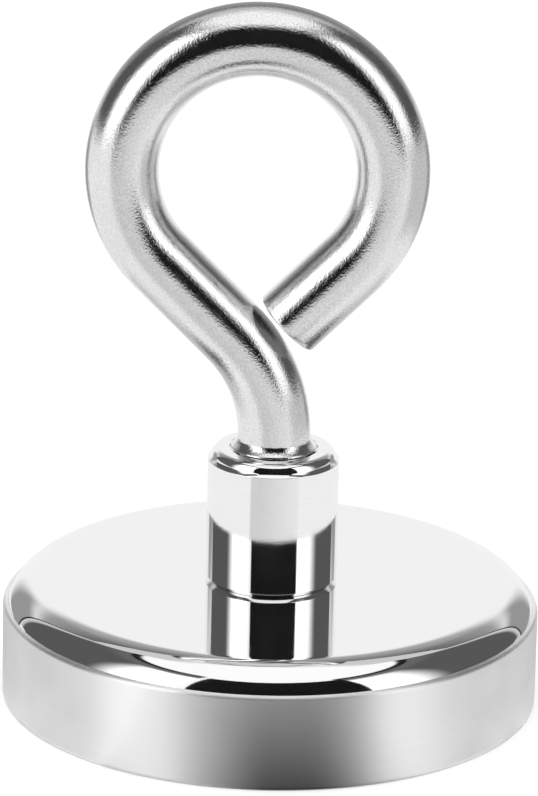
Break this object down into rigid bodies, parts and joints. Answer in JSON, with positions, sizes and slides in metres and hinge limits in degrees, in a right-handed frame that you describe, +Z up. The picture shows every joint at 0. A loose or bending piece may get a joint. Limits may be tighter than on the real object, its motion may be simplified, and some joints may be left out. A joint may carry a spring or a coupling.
{
  "type": "magnet fishing magnet",
  "caption": "Round single-sided pot magnet with a screwed collar and an open bent-rod eyebolt for tying on a retrieval rope.",
  "frame": {"origin": "on the pot's axis, at the magnet face that the part stands on", "axes": "+Z up the pot's axis, through the collar and the eyebolt's shank; the eye lies in the XZ plane with its open side towards +X; +Y points to the back"},
  "size_m": [0.075, 0.075, 0.0998],
  "materials": {
    "pot_chrome": "mirror-polished top and shoulder, fine-turned satin side",
    "magnet_nickel": "bright nickel plating over sintered neodymium",
    "potting_resin": "cast grey resin",
    "screw_black_oxide": "oiled black oxide",
    "collar_chrome": "mirror-bright plating with faint turning lines",
    "eyebolt_nickel": "bright plating with a fine drawn grain"
  },
  "bodies": {
    "pot": {"steel_pot": "pot_chrome", "ring_magnet": "magnet_nickel", "outer_potting_ring": "potting_resin", "inner_potting_ring": "potting_resin", "centre_screw": "screw_black_oxide"},
    "collar": {"threaded_collar": "collar_chrome"},
    "eyebolt": {"eyebolt": "eyebolt_nickel"}
  },
  "joints": [
    {"name": "eyebolt_turn", "type": "hinge", "parent": "pot", "child": "collar", "pos_m": [0, 0, 0.0363], "axis": [0, 0, 1], "range_deg": [0, 2161]},
    {"name": "eyebolt_rise", "type": "slide", "parent": "collar", "child": "eyebolt", "axis": [0, 0, 1], "range_m": [0, 0.009]}
  ],
  "couplings": [
    {"joint": "eyebolt_turn", "follows": "eyebolt_rise", "rad_per_m": 4188.8}
  ]
}
